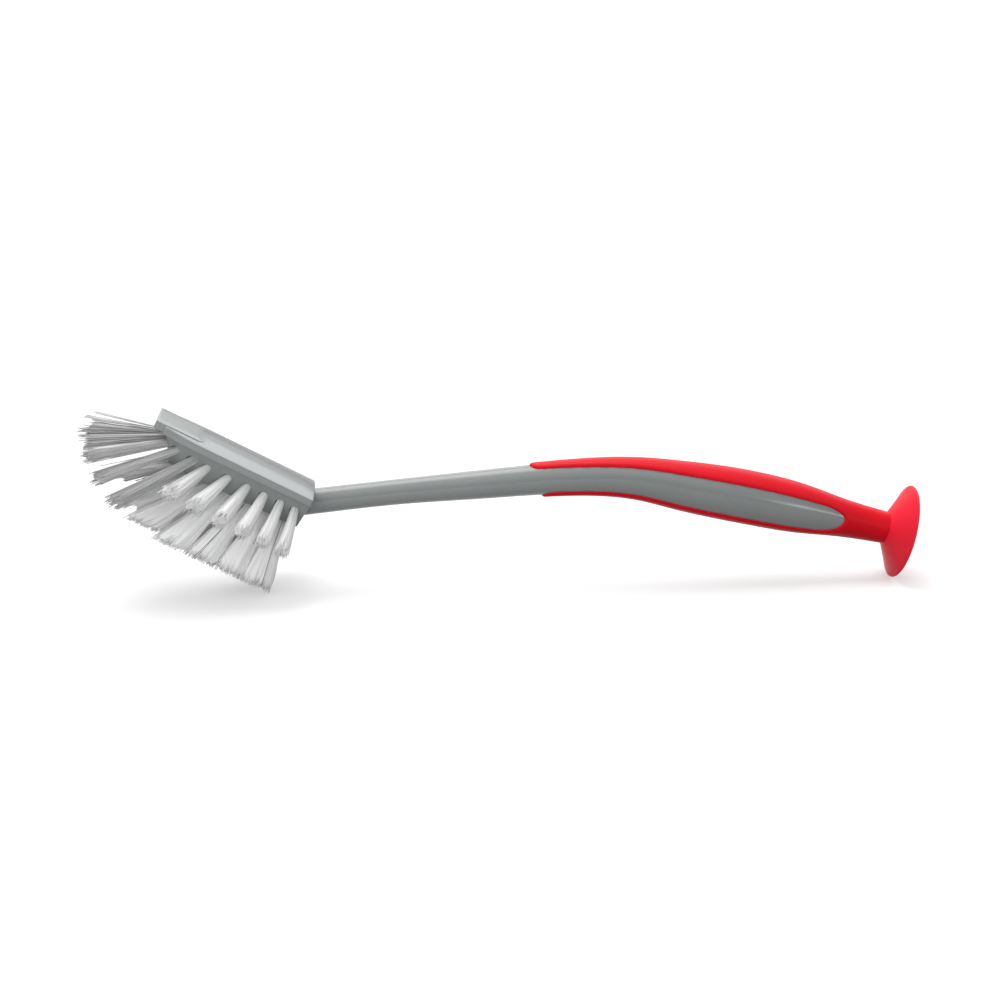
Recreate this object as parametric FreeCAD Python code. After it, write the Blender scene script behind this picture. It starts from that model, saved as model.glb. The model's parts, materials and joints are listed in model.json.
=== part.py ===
"""Dish brush: a moulded body, a soft grip, a suction cup and a fan of stapled bristle tufts.

Millimetres. +X runs along the handle towards the suction cup, +Y to the user's right, +Z up.
The brush stands on its bristles and on the cup's rim, and the origin lies under its middle.
"""
import FreeCAD
import Part
import math
import os

V = FreeCAD.Vector

# Head block, measured along its back from the heel at the neck to the tip
head_length = 55.0
head_width = 28.0
head_tilt_deg = 27.8
flange_thickness = 2.5
back_crown = 0.8
flange_tip_width = 22.0
flange_taper_length = 15.0

# Keel under the flange, which holds the tufts
keel_depth = 9.8
keel_inset = 1.4
keel_tip_width = 18.0
keel_flank_draft_deg = 24.0
keel_tip_draft_deg = 27.0
keel_heel_inset = 0.2
keel_heel_draft_deg = 2.0
keel_edge_radius = 0.7

# Scraper tongue, raised on the back and overhanging the tip
tongue_length = 17.4
tongue_width = 20.0
tongue_overhang = 3.4
tongue_rise = 0.86
tongue_droop = 2.3
tongue_rear_radius = 3.0
tongue_edge_radius = 0.8

# Handle: one curved axis from the heel to the cup, round in section
handle_run = 198.9
handle_arch = 20.2
heel_drop = 3.63
core_diameter = 17.2
neck_root_depth = 6.0
handle_span = 8.0
# Each row: place along the run, height over the cup end as part of the arch, girth of the core
handle_stations_shares = (
    (0.000, 0.662, 0.510),
    (0.150, 0.803, 0.510),
    (0.285, 0.899, 0.575),
    (0.407, 0.980, 0.628),
    (0.494, 1.000, 0.692),
    (0.564, 0.951, 0.782),
    (0.634, 0.823, 0.910),
    (0.705, 0.687, 0.991),
    (0.776, 0.540, 1.000),
    (0.848, 0.372, 0.916),
    (0.920, 0.196, 0.700),
    (1.000, 0.000, 0.564),
)

# Soft grip, moulded into a recess of the core from the cup's end on, with a bare panel left on each side
grip_length = 124.8
grip_proud = 0.8
grip_recess = 1.0
grip_nose_length = 3.6
low_nose_setback = 3.5
sleeve_length = 16.0
panel_end_radius = 8.4
panel_half_angle_deg = 41.0

# Suction cup, plugged into the end of the core
cup_diameter = 32.8
cup_depth = 6.1
cup_hub_diameter = 10.4
cup_hub_thickness = 2.3
cup_lip_width = 1.3
cup_lip_height = 0.5
stem_diameter = 4.2
stem_length = 7.0
barb_diameter = 5.0
barb_length = 1.6
stem_clearance = 0.1

# Tufts: holes in the keel, bundles that flare, staples that pin the folded bundles down
hole_diameter = 3.0
hole_depth = 5.0
tuft_clearance = 0.05
tuft_collar = 1.6
tuft_flare_deg = 3.8
tuft_sides = 10
trim_radius = 25.7
trim_axis_drop = 13.6
trim_tip_setback = 3.0
trim_tolerance = 0.005
staple_thickness = 0.4
staple_height = 1.5

# Rows of tufts: place along the head, and lean towards the tip in degrees
side_row_depth = 4.2
side_row_splay_deg = 43.0
side_row_shares = (
    (0.076, -12.0), (0.176, -3.0), (0.287, 6.7), (0.404, 16.3), (0.533, 28.0), (0.673, 35.0)
)
inner_row_offset = 4.0
inner_row_splay_deg = 6.0
inner_row_shares = (
    (0.118, -9.0), (0.227, 0.0), (0.345, 9.0), (0.473, 19.0), (0.600, 28.0), (0.720, 36.5), (0.830, 45.0)
)
shoulder_row_splay_deg = 20.0
shoulder_row_shares = ((0.775, 38.0), (0.896, 47.0))
tip_row_depth = 3.0
tip_row_pitch = 6.5
tip_row_lean_deg = 60.0
tip_row_splay_deg = 24.0

# Every cut runs this far past what it opens
overrun = 20.0


def tangent(degrees):
    return math.tan(math.radians(degrees))


def lines(points):
    """Straight edges from each point to the next."""
    return [Part.LineSegment(a, b).toShape() for a, b in zip(points, points[1:])]


def arc(start, middle, end):
    return Part.Arc(start, middle, end).toShape()


def prism(edges, direction):
    """Extrude a closed run of edges along a vector."""
    return Part.Face(Part.Wire(edges)).extrude(direction)


def turned(edges, place, direction):
    """Revolve a half profile, drawn in the XZ plane beside the Z axis, and set that axis in place."""
    solid = Part.Face(Part.Wire(edges)).revolve(V(0, 0, 0), V(0, 0, 1), 360)
    solid = Part.Solid(solid) if solid.ShapeType == "Shell" else solid
    solid.Placement = FreeCAD.Placement(place, FreeCAD.Rotation(V(0, 0, 1), direction))
    return solid


# Head, drawn flat: x from heel to tip, y to the user's left, z up from the edge of the back
prow_start = head_length - flange_taper_length
keel_half_width = head_width / 2 - keel_inset
keel_tip = head_length - keel_inset


def tapered_outline(heel, shoulder, tip, half_width, tip_half_width, height):
    """Plan of a head layer: straight sides that curve in towards the tip."""
    run = tip - shoulder
    inward = half_width - tip_half_width
    half_turn = math.atan2(inward, run)
    radius = (run**2 + inward**2) / inward / 2
    middle_x = shoulder + radius * math.sin(half_turn)
    middle_y = half_width - radius * (1 - math.cos(half_turn))
    corners = {}
    for side in (-1, 1):
        corners[side] = [
            V(heel, side * half_width, height),
            V(shoulder, side * half_width, height),
            V(middle_x, side * middle_y, height),
            V(tip, side * tip_half_width, height),
        ]
    right, left = corners[-1], corners[1]
    edges = lines(right[:2]) + [arc(*right[1:])]
    edges += lines([right[3], left[3]]) + [arc(*left[:0:-1])]
    return edges + lines([left[1], left[0], right[0]])


def make_flange():
    """Flat rim of the head with a shallow crowned back."""
    half = head_width / 2
    low = -flange_thickness
    section = lines([V(0, half, 0), V(0, half, low), V(0, -half, low), V(0, -half, 0)])
    section.append(arc(V(0, -half, 0), V(0, 0, back_crown), V(0, half, 0)))
    bar = prism(section, V(head_length, 0, 0))
    plan = tapered_outline(0, prow_start, head_length, half, flange_tip_width / 2, low)
    return bar.common(prism(plan, V(0, 0, flange_thickness + back_crown)))


def keel_layer(depth):
    """Outline of the keel at a depth under the flange."""
    flank = depth * tangent(keel_flank_draft_deg)
    rake = depth * tangent(keel_tip_draft_deg)
    heel = keel_heel_inset + depth * tangent(keel_heel_draft_deg)
    height = -flange_thickness - depth
    return Part.Wire(tapered_outline(heel, prow_start - rake, keel_tip - rake, keel_half_width - flank,
                                     keel_tip_width / 2 - flank, height))


def make_keel():
    """Drafted block under the flange, with its lower edge rounded."""
    block = Part.makeLoft([keel_layer(0), keel_layer(keel_depth)], True, True)
    floor = -flange_thickness - keel_depth
    low_edges = [e for e in block.Edges if abs(e.BoundBox.ZMax - floor) < keel_edge_radius / 2]
    return block.makeFillet(keel_edge_radius, low_edges)


def make_tongue():
    """Raised tongue whose rounded front edge overhangs the tip."""
    tip = head_length + tongue_overhang
    tongue = Part.makeBox(tongue_length, tongue_width, tongue_rise + tongue_droop,
                          V(tip - tongue_length, -tongue_width / 2, -tongue_droop))
    rear = [e for e in tongue.Edges if e.BoundBox.ZLength > tongue_rise and e.BoundBox.XMax < head_length]
    tongue = tongue.makeFillet(tongue_rear_radius, rear)
    front = [e for e in tongue.Edges if e.BoundBox.ZMin > 0 and e.BoundBox.XMin > head_length]
    return tongue.makeFillet(tongue_edge_radius, front)


head_place = FreeCAD.Placement(
    V(0, 0, 0),
    FreeCAD.Rotation(V(0, 1, 0), head_tilt_deg) * FreeCAD.Rotation(V(0, 0, 1), 180),
)


# Handle, from the heel's edge at the origin towards +X
def handle_line():
    """Smooth line through the stations, with the core's radius carried in y."""
    cup_end = -heel_drop - handle_arch * handle_stations_shares[0][1]
    points = []
    for run_share, rise_share, girth_share in handle_stations_shares:
        radius = core_diameter * girth_share / 2
        points.append(V(handle_run * run_share, radius, cup_end + handle_arch * rise_share))
    curve = Part.BSplineCurve()
    curve.interpolate(points)
    return curve


handle_curve = handle_line()


def handle_ring(x):
    """Axis point, direction and core radius where the handle crosses a given x."""
    hit = handle_curve.intersectCS(Part.Plane(V(x, 0, 0), V(1, 0, 0)))[0][0]
    heading = handle_curve.tangent(handle_curve.parameter(V(hit.X, hit.Y, hit.Z)))[0]
    return V(hit.X, 0, hit.Z), V(heading.x, 0, heading.z).normalize(), hit.Y


cup_place, cup_axis = handle_ring(handle_run)[:2]


def ring_point(ring, extra, angle_deg):
    """Point beside the axis at the core's radius and more, turned from +Y towards the top."""
    place, direction, radius = ring
    upright = V(-direction.z, 0, direction.x)
    turn = math.radians(angle_deg)
    return place + (V(0, 1, 0) * math.cos(turn) + upright * math.sin(turn)) * (radius + extra)


def ring_arc(ring, extra, start_deg, end_deg):
    angles = (start_deg, (start_deg + end_deg) / 2, end_deg)
    return arc(*[ring_point(ring, extra, angle) for angle in angles])


def ring_step(ring, extra, next_extra, angle_deg):
    return lines([ring_point(ring, extra, angle_deg), ring_point(ring, next_extra, angle_deg)])


def round_wire(ring, extra):
    return Part.Wire([ring_arc(ring, extra, start, start + 90) for start in (0, 90, 180, 270)])


def places_along(start, end):
    """Places for rings between two ends, no further apart than a span."""
    steps = math.ceil((end - start) / handle_span)
    return [start + (end - start) * step / steps for step in range(steps + 1)]


def round_bar(start, end, extra):
    """Round bar along the handle's axis, thicker than the core by an amount all round."""
    rings = [handle_ring(x) for x in places_along(start, end)]
    return Part.makeLoft([round_wire(ring, extra) for ring in rings], True, True)


# Grip seams: rings at these shares of the rounded noses and of the panels' rounded ends
nose_shares = (0.06, 0.35)
panel_end_shares = (0.5, 0.85, 0.98)
grip_top_nose = handle_run - grip_length
grip_low_nose = grip_top_nose + low_nose_setback
top_start = grip_top_nose + grip_nose_length * nose_shares[0]
low_start = grip_low_nose + grip_nose_length * nose_shares[0]
panel_round_start = handle_run - sleeve_length - panel_end_radius
sleeve_start = panel_round_start + panel_end_radius * panel_end_shares[-1]


def stripe_half_angle(x, nose):
    """Half the angle that a grip stripe covers at a place, or its bare rest near the panel's end."""
    nose_share = min(1, (x - nose) / grip_nose_length)
    end_share = max(0, (x - panel_round_start) / panel_end_radius)
    bare = panel_half_angle_deg * math.sqrt(1 - end_share**2)
    return (90 - bare) * math.sqrt(1 - (1 - nose_share) ** 2)


def grip_places():
    """Places for rings from the first nose to the sleeve, the same for the core and for the grip."""
    places = places_along(grip_low_nose + grip_nose_length, panel_round_start)
    for nose in (grip_top_nose, grip_low_nose):
        places += [nose + grip_nose_length * share for share in nose_shares]
    places += [panel_round_start + panel_end_radius * share for share in panel_end_shares]
    return sorted(places)


def stripe_wire(x, nose, middle_deg):
    """Section of a grip stripe: from the floor of its recess to its proud face."""
    ring = handle_ring(x)
    half = stripe_half_angle(x, nose)
    left, right = middle_deg + half, middle_deg - half
    edges = [ring_arc(ring, grip_proud, right, left)]
    edges += ring_step(ring, grip_proud, -grip_recess, left)
    edges.append(ring_arc(ring, -grip_recess, left, right))
    edges += ring_step(ring, -grip_recess, grip_proud, right)
    return Part.Wire(edges)


def recessed_wire(x, with_low_stripe):
    """Section of the core: full radius on its bare sides and recessed under the stripes."""
    ring = handle_ring(x)
    top = stripe_half_angle(x, grip_top_nose)
    low = stripe_half_angle(x, grip_low_nose) if with_low_stripe else 0
    edges = [ring_arc(ring, 0, low - 90, 90 - top)]
    edges += ring_step(ring, 0, -grip_recess, 90 - top)
    edges.append(ring_arc(ring, -grip_recess, 90 - top, 90 + top))
    edges += ring_step(ring, -grip_recess, 0, 90 + top)
    edges.append(ring_arc(ring, 0, 90 + top, 270 - low))
    if with_low_stripe:
        edges += ring_step(ring, 0, -grip_recess, 270 - low)
        edges.append(ring_arc(ring, -grip_recess, 270 - low, 270 + low))
        edges += ring_step(ring, -grip_recess, 0, 270 + low)
    return Part.Wire(edges)


def make_core():
    """Moulded core of the handle, from inside the head's heel to the cup."""
    place, direction, radius = handle_ring(0)
    root = Part.makeCylinder(radius, neck_root_depth, place, direction * -1)
    neck = round_bar(0, top_start, 0)
    nose_places = [x for x in grip_places() if x <= low_start]
    panel_places = [x for x in grip_places() if x >= low_start]
    nose_part = Part.makeLoft([recessed_wire(x, False) for x in nose_places], True, True)
    panel_part = Part.makeLoft([recessed_wire(x, True) for x in panel_places], True, True)
    tail = round_bar(sleeve_start, handle_run, -grip_recess)
    return root.fuse([neck, nose_part, panel_part, tail])


def make_grip():
    """Soft top and bottom stripes that join in a sleeve at the cup's end."""
    top = [stripe_wire(x, grip_top_nose, 90) for x in grip_places()]
    low = [stripe_wire(x, grip_low_nose, 270) for x in grip_places() if x >= low_start]
    sleeve = round_bar(sleeve_start, handle_run, grip_proud)
    sleeve = sleeve.cut(round_bar(sleeve_start, handle_run, -grip_recess))
    return sleeve.fuse([Part.makeLoft(top, True, True), Part.makeLoft(low, True, True)])


def stem_profile(gap):
    """Half profile of the cup's barbed stem, or of its socket when a gap is given."""
    thin = stem_diameter / 2 + gap
    thick = barb_diameter / 2 + gap
    foot = -stem_length - gap
    barb_end = -stem_length + barb_length + gap
    return [V(0, 0, foot), V(thin, 0, foot), V(thick, 0, barb_end), V(thin, 0, barb_end)]


def make_socket():
    """Room for the cup's stem in the end of the core."""
    outline = stem_profile(stem_clearance)
    rim = V(stem_diameter / 2 + stem_clearance, 0, overrun)
    return turned(lines(outline + [rim, V(0, 0, overrun), outline[0]]), cup_place, cup_axis)


def make_cup():
    """Shallow suction cup with a flat lip and a barbed stem."""
    hub = cup_hub_diameter / 2
    rim = cup_diameter / 2
    lip = rim - cup_lip_width
    mouth = cup_depth + cup_lip_height
    stem = stem_profile(0)
    profile = lines(stem + [V(stem_diameter / 2, 0, 0), V(hub, 0, 0)])
    floor = stem_diameter / 2
    outer = [V(hub, 0, 0), V(rim, 0, cup_depth), V(rim, 0, mouth)]
    inner = [V(lip, 0, mouth), V(floor, 0, cup_hub_thickness), V(0, 0, cup_hub_thickness)]
    return turned(profile + lines(outer + inner + [stem[0]]), cup_place, cup_axis)


# Tufts, in the head's flat frame
def tuft_direction(lean_deg, splay_deg):
    """Unit vector down from the back, leaning to the tip and splayed to the left."""
    lean = math.radians(lean_deg)
    splay = math.radians(splay_deg)
    return V(math.sin(lean) * math.cos(splay), math.sin(splay), -math.cos(lean) * math.cos(splay))


def flank_offset(along, depth):
    """Half width of the keel at a place along it and a depth under the flange."""
    past_share = max(0, along - prow_start) / (keel_tip - prow_start)
    narrowing = (keel_half_width - keel_tip_width / 2) * past_share**2
    return keel_half_width - narrowing - depth * tangent(keel_flank_draft_deg)


def tuft_layout():
    """Name, mouth of the hole and direction of every tuft."""
    flank_height = -flange_thickness - side_row_depth
    floor = -flange_thickness - keel_depth
    tip_height = -flange_thickness - tip_row_depth
    tip_face = keel_tip - tip_row_depth * tangent(keel_tip_draft_deg)
    layout = []
    for side_name, side in (("left", 1), ("right", -1)):
        for number, (along_share, lean) in enumerate(side_row_shares, 1):
            along = head_length * along_share
            mouth = V(along, side * flank_offset(along, side_row_depth), flank_height)
            direction = tuft_direction(lean, side * side_row_splay_deg)
            layout.append((f"{side_name}_side_tuft_{number}", mouth, direction))
        for number, (along_share, lean) in enumerate(inner_row_shares, 1):
            mouth = V(head_length * along_share, side * inner_row_offset, floor)
            direction = tuft_direction(lean, side * inner_row_splay_deg)
            layout.append((f"{side_name}_inner_tuft_{number}", mouth, direction))
        for number, (along_share, lean) in enumerate(shoulder_row_shares, 1):
            along = head_length * along_share
            mouth = V(along, side * flank_offset(along, side_row_depth), flank_height)
            direction = tuft_direction(lean, side * shoulder_row_splay_deg)
            layout.append((f"{side_name}_shoulder_tuft_{number}", mouth, direction))
    for name, side in (("tip_tuft_left", 1), ("tip_tuft_middle", 0), ("tip_tuft_right", -1)):
        mouth = V(tip_face, side * tip_row_pitch, tip_height)
        layout.append((name, mouth, tuft_direction(tip_row_lean_deg, side * tip_row_splay_deg)))
    return layout


def tuft_placement(mouth, direction):
    """Frame at the mouth of a hole: z along the tuft, y across the head."""
    along = V(0, 1, 0).cross(direction)
    return FreeCAD.Placement(mouth, FreeCAD.Rotation(along, V(0, 1, 0), direction, "ZXY"))


def make_staple(placement):
    """Flat staple across the foot of a hole, inside the fold of its bundle."""
    width = hole_diameter * math.cos(math.pi / tuft_sides) - 2 * tuft_clearance
    corner = V(-staple_thickness / 2, -width / 2, -hole_depth)
    staple = Part.makeBox(staple_thickness, width, staple_height, corner)
    staple.Placement = placement
    return staple


def bundle_corners(placement, radius, height):
    """Corners of a bundle's outline at a height along its axis."""
    turns = [2 * math.pi * corner / tuft_sides for corner in range(tuft_sides)]
    corners = [V(radius * math.cos(turn), radius * math.sin(turn), height) for turn in turns]
    return [placement.multVec(corner) for corner in corners]


def make_hole(placement):
    """Hole for a bundle, of the same outline and a little wider."""
    corners = bundle_corners(placement, hole_diameter / 2, -hole_depth)
    outward = placement.Rotation.multVec(V(0, 0, hole_depth + overrun))
    return prism(lines(corners + corners[:1]), outward)


def trim_distance(start, direction):
    """Way along a line to the trimmed surface, which is round across the head and about its tip."""
    near, far = 0, 2 * trim_radius
    while far - near > trim_tolerance:
        middle = (near + far) / 2
        point = start + direction * middle
        past_tip = max(0, point.x - head_length + trim_tip_setback)
        inside = V(past_tip, point.y, point.z + trim_axis_drop).Length < trim_radius
        near, far = (middle, far) if inside else (near, middle)
    return near


def make_tuft(placement, staple):
    """Bundle of bristles: straight in its hole, flared outside it and trimmed at its end."""
    root = hole_diameter / 2 - tuft_clearance
    apex = placement.multVec(V(0, 0, tuft_collar - root / tangent(tuft_flare_deg)))
    foot = bundle_corners(placement, root, -hole_depth)
    collar = bundle_corners(placement, root, tuft_collar)
    flares = [(point - apex).normalize() for point in collar]
    end = [point + flare * trim_distance(point, flare) for point, flare in zip(collar, flares)]
    heart = placement.multVec(V(0, 0, tuft_collar))
    heading = placement.Rotation.multVec(V(0, 0, 1))
    crown = heart + heading * trim_distance(heart, heading)
    corners = [foot]
    for k in range(tuft_sides):
        after = (k + 1) % tuft_sides
        corners.append([foot[k], foot[after], collar[after], collar[k]])
        corners.append([collar[k], collar[after], end[after], end[k]])
        corners.append([end[k], end[after], crown])
    faces = [Part.Face(Part.makePolygon(points + points[:1])) for points in corners]
    bundle = Part.makeSolid(Part.makeShell(faces))
    return bundle.cut(staple)


def build():
    """All nodes by name, in the brush's frame before it is set down."""
    names, placements = zip(*[(name, tuft_placement(mouth, way)) for name, mouth, way in tuft_layout()])
    staples = [make_staple(placement) for placement in placements]
    holes = [make_hole(placement) for placement in placements]
    tufts = [make_tuft(placement, staple) for placement, staple in zip(placements, staples)]

    head = make_flange().fuse([make_keel(), make_tongue()]).cut(holes)
    head.Placement = head_place
    nodes = {
        "brush_body": head.fuse(make_core()).cut(make_socket()),
        "soft_grip": make_grip(),
        "suction_cup": make_cup(),
        "tuft_staples": Part.Compound(staples),
    }
    nodes["tuft_staples"].Placement = head_place
    for name, tuft in zip(names, tufts):
        tuft.Placement = head_place
        nodes[name] = tuft
    return nodes


def set_down(nodes):
    """Move the brush so that it stands on z = 0 with its middle over the origin."""
    bounds = Part.Compound(list(nodes.values())).optimalBoundingBox(False)
    for shape in nodes.values():
        shape.translate(V(-bounds.Center.x, -bounds.Center.y, -bounds.ZMin))


def main():
    nodes = build()
    set_down(nodes)
    os.makedirs("parts", exist_ok=True)
    for name, shape in nodes.items():
        shape.exportStep(f"parts/{name}.step")


main()
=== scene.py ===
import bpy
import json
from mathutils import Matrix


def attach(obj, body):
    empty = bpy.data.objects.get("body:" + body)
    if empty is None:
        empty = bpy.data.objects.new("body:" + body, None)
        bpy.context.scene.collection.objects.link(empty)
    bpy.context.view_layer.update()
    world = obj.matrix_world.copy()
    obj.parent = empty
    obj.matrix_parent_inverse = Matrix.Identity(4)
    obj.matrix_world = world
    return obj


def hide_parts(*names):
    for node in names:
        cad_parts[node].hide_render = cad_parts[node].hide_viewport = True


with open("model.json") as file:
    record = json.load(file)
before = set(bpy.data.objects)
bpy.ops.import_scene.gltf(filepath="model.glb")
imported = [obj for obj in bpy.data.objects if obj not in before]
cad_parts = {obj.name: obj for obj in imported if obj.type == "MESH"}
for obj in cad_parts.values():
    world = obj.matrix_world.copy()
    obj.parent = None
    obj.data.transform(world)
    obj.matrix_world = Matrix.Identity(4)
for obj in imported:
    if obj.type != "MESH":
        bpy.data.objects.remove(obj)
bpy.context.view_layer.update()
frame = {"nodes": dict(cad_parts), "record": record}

import bisect
import json
import math
import random

import bmesh
import bpy
import numpy
from bpy.props import FloatProperty, FloatVectorProperty, IntProperty, PointerProperty
from bpy.types import Operator, Panel, PropertyGroup
from mathutils import Matrix, Vector

bl_info = {
    "name": "Dish Brush",
    "version": (1, 0, 0),
    "blender": (4, 5, 0),
    "location": "3D View > Sidebar > Dish Brush",
    "description": "Builds the visible pieces of a dish brush on its CAD frame, and a stage for them",
    "category": "Object",
}

NEAR_SIDE = Vector((0, -1, 0))
MERGE_DISTANCE = 2e-6
SHARP_ANGLE = math.radians(32)
GOLDEN_ANGLE = math.pi * (3 - math.sqrt(5))
FULL_TURN = 2 * math.pi
SPLAYED_TUFT = "tip_tuft_right"
NEAR_TIP_TUFT = "tip_tuft_left"
SEED_STEP = 1000

# How finely the pieces are divided.
CORNER_STEPS = 5
TONGUE_STEPS = 8
HOLE_SIDES = 20
CORE_SIDES = 72
CORE_ROWS = 140
CUP_SIDES = 128
FILAMENT_SIDES = 5
FILAMENT_STEPS = 7
STRANDS = 9

# The least roundings, in metres, that are left of an outline's corners where it is moved in.
FLANGE_ROUNDING = 0.0003
KEEL_ROUNDING = 0.0004
TONGUE_ROUNDING = 0.0004

# The tongue, in metres: rounding of its front corners, slope of its front edge and bevel of its low edge.
NOSE_CORNER = 0.0008
NOSE_EDGE = 0.0005
TONGUE_LOW_EDGE = 0.0003

# The flange's low edge, against its top edge, and the rings of its back, against its outline.
LOW_EDGE_SHARE = 0.6
BACK_RINGS = (0.15, 0.25, 0.32, 0.45, 0.6, 0.75, 0.88)

# How far the pins that cut the tuft holes stand out, in metres.
CUTTER_REACH = 0.004

# In metres: how closely an edge fits a tuft's straight side, and how far past the collar a tuft's end begins.
SIDE_TOLERANCE = 0.00002
PAST_COLLAR = 0.0005

# Rows of the soft grip, in metres: the first past the lower nose, a wide gap, and those past the panel's tip.
NOSE_GAP = 0.001
ROW_GAP = 0.002
SLEEVE_ROWS = (0.0002, 0.0005, 0.0009, 0.0014)

# The power by which the upper seam falls from its nose.
SEAM_POWER = 2.2

# The cup, in metres: its foot, its bevel, the inside of its lip, and the middle and the start of its hollow.
CUP_SEAT = 0.0012
CUP_BEVEL = 0.0003
CUP_BEVEL_DEPTH = 0.0002
CUP_LIP = 0.0006
CUP_MIDDLE = 0.0008
CUP_STEP = 0.0001

# Where the cup's cone meets the rim, as a share of the lip's rounding.
RIM_TANGENT = 0.6

# How the tufts change with each row: on the flanks before the middle row, under the keel past it.
MIDDLE_ROW = 4
FLANK_NARROWING = 0.11
INNER_NARROWING = 0.2
# Painted shade: each long tuft past the middle row is made darker by this share, for the shade under the keel
# and the near tufts.
INNER_PAINTED_SHADE = 0.15
FAR_SHORTENING = 0.1

# Shares that set the far shoulder tufts and the splayed tip tuft apart.
FAR_SHOULDER_SPREAD = 0.6
FAR_SHOULDER_REACH = 0.8
SPLAYED_HEART = 0.4
SPLAYED_CLUMP = 0.8

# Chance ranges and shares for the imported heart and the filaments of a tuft.
COLUMN_WIDTHS = (0.95, 1.03)
COLUMN_TONES = (0.85, 1)
COLUMN_SHORTENING = 0.08
BEND_PLACE = 0.3
TURN_JITTER = 0.2
SPREAD_JITTER = (0.9, 1.1)
CLUMP_RANGE = (0.3, 1)
STRAND_RANGE = (0.1, 1.1)
STRAY_SWING = (0.04, 0.1)
STRAY_REACH = (0.9, 1)
FILAMENT_TAPER = 0.12
FILAMENT_FADE = 0.5
# Painted shade: a few filaments are made dark to stand for the shade in the gaps between the white filaments.
PAINTED_SHADE_FILAMENT_SHARE = 0.04
PAINTED_SHADE_FILAMENT_TONE = 0.3

# The part of the light that goes through the nylon.
NYLON_GLOW = 0.08

# The stage: the sun's place and width, then softboxes by their place from what they light, width and height.
KEY_PLACE = Vector((-0.1, 0.3, 1))
KEY_ANGLE = math.radians(40)
SIDE_BOX = (Vector((-1.0, -0.5, 0.5)), 0.6, 0.6)
LOW_BOX = (Vector((-0.08, -0.3, 0)), 0.4, 0.06)
STRIP_BOX = (Vector((0.6, -0.84, 0.21)), 0.3, 0.06)
BACK_BOX = (Vector((0.3, 1.2, 0.65)), 1.6, 0.7)
SENSOR_WIDTH = 36
CLIP_START = 0.01
FLOOR_HALF = 30
FLOOR_BOUNCE = 0.2
FLOOR_GLOW = 0.36
SKY_HEIGHTS = (0.1, 0.9)

# Shares of the handle's run, arch and core diameter, read off the photograph's outline.
HANDLE_STATIONS = (
    (0.000, 0.662, 0.510),
    (0.150, 0.803, 0.510),
    (0.285, 0.899, 0.575),
    (0.407, 0.980, 0.628),
    (0.494, 1.000, 0.692),
    (0.564, 0.951, 0.782),
    (0.634, 0.823, 0.910),
    (0.705, 0.687, 0.991),
    (0.776, 0.540, 1.000),
    (0.848, 0.372, 0.916),
    (0.920, 0.196, 0.700),
    (1.000, 0.000, 0.564),
)

# Places along a tuft and widths of its packed heart there, with a blunt and slightly domed end.
HEART_STATIONS = (
    (0, 1),
    (0.12, 1),
    (0.3, 1),
    (0.5, 1),
    (0.7, 0.99),
    (0.85, 0.97),
    (0.92, 0.93),
    (0.955, 0.8),
    (0.97, 0.45),
    (0.975, 0.05),
)

# Shares of the way from a stripe's seam to its middle, close together at the rounded edge.
STRIPE_COLUMNS = (0, 0.012, 0.03, 0.055, 0.085, 0.12, 0.165, 0.22, 0.29, 0.38, 0.5, 0.64, 0.81, 1)


def distance(name, description, default):
    """A length in metres that a user can change."""
    return FloatProperty(
        name=name, description=description, default=default, unit="LENGTH", subtype="DISTANCE", precision=5
    )


def number(name, description, default):
    """A whole number that a user can change."""
    return IntProperty(name=name, description=description, default=default, min=1)


def turn(name, description, degrees):
    """An angle that a user can change."""
    return FloatProperty(
        name=name, description=description, default=math.radians(degrees), subtype="ANGLE"
    )


def share(name, description, default):
    """A part of a whole that a user can change."""
    return FloatProperty(
        name=name, description=description, default=default, min=0, soft_max=1, subtype="FACTOR"
    )


def colour(name, description, red, green, blue):
    """A colour in linear light that a user can change."""
    tint = (red, green, blue, 1)
    return FloatVectorProperty(
        name=name, description=description, default=tint, size=4, min=0, max=1, subtype="COLOR"
    )


def light_level(name, description, default):
    """The strength of a lamp that a user can change."""
    return FloatProperty(name=name, description=description, default=default, min=0, precision=3)


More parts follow.
